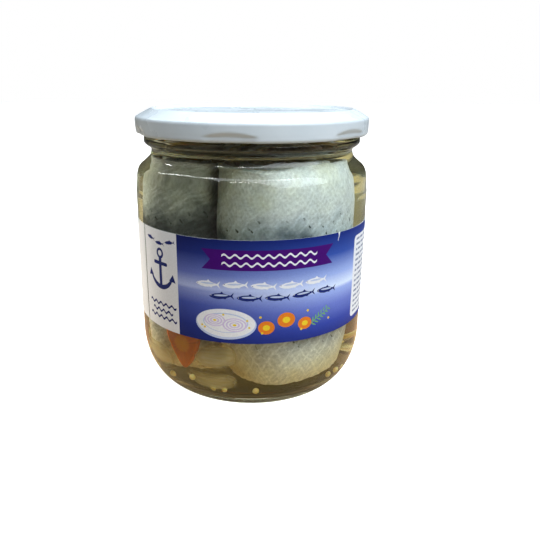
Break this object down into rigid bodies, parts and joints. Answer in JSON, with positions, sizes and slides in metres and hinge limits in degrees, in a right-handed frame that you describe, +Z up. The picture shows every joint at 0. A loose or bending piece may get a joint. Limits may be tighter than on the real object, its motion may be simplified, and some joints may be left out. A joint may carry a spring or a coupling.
{
  "type": "jar of rolled pickled herring",
  "caption": "Squat clear glass jar filled with rolled pickled herring fillets, onion and carrot in brine, shut with a white twist-off lid and wrapped in a blue paper label.",
  "frame": {"origin": "middle of the jar's base, on the surface it stands on", "axes": "+Z up along the axis of the jar and its lid, -Y towards the front of the label, +X to the right of the front"},
  "size_m": [0.087, 0.087, 0.1035],
  "materials": {
    "jar_glass": "clear moulded flint glass, fire polished",
    "lid_enamel": "white stoved enamel on pressed tinplate",
    "lid_seal": "soft off-white sealing compound",
    "label_paper": "printed and varnished paper",
    "herring": "wet silver fish skin over pale flesh",
    "carrot": "wet cut carrot",
    "onion": "wet translucent onion",
    "mustard_seed": "wet yellow mustard seed",
    "brine": "clear pale yellow vinegar brine"
  },
  "bodies": {
    "root": {"jar_glass": "jar_glass", "lid": "lid_enamel", "lid_seal": "lid_seal", "label": "label_paper", "roll_front": "herring", "roll_left": "herring", "roll_back": "herring", "carrot_front": "carrot", "carrot_left": "carrot", "carrot_back": "carrot", "onion_front": "onion", "onion_low": "onion", "onion_left": "onion", "onion_back": "onion", "onion_middle": "onion"}
  },
  "joints": []
}
